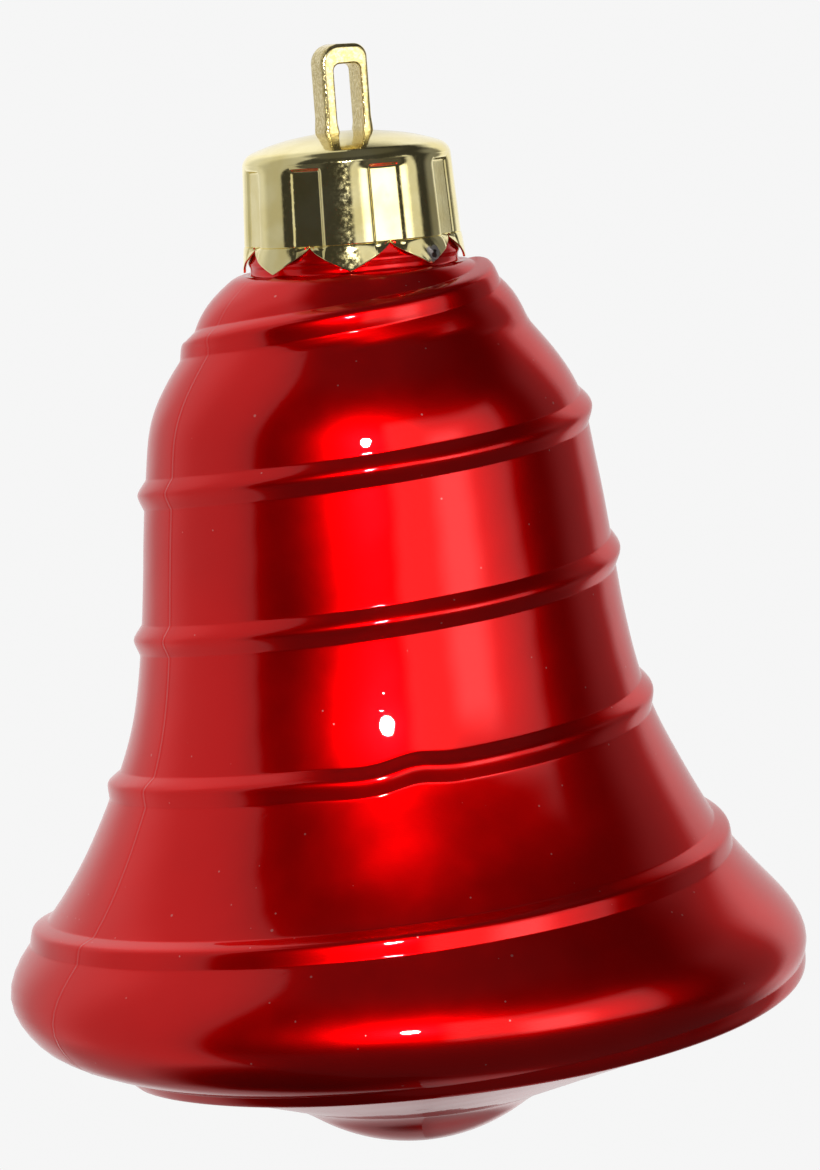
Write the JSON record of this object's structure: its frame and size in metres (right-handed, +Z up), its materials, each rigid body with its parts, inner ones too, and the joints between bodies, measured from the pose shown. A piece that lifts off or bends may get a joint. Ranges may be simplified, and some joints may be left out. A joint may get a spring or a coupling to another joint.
{
  "type": "christmas bell ornament",
  "caption": "Hollow hanging bell ornament in glossy red plastic with a raised spiral ridge, a fluted gold cap on its neck and a gold hanging loop.",
  "frame": {"origin": "hanging point, under the crown of the loop, where a hook or thread bears", "axes": "+Z up along the bell's axis; Y along the hole of the loop"},
  "size_m": [0.0706, 0.0703, 0.0966],
  "materials": {
    "red_lacquer": "glossy candy red lacquer over blown plastic",
    "gold_cap": "pale gold mirror metallising on moulded plastic",
    "gold_loop": "pale gold metallising on a coarse moulded surface"
  },
  "bodies": {
    "cap": {"hanger_cap": "gold_cap", "hanger_loop": "gold_loop"},
    "bell": {"bell_shell": "red_lacquer"}
  },
  "joints": [
    {"name": "bell_release", "type": "slide", "parent": "cap", "child": "bell", "axis": [0, 0, -1], "range_m": [0, 0.02]}
  ]
}
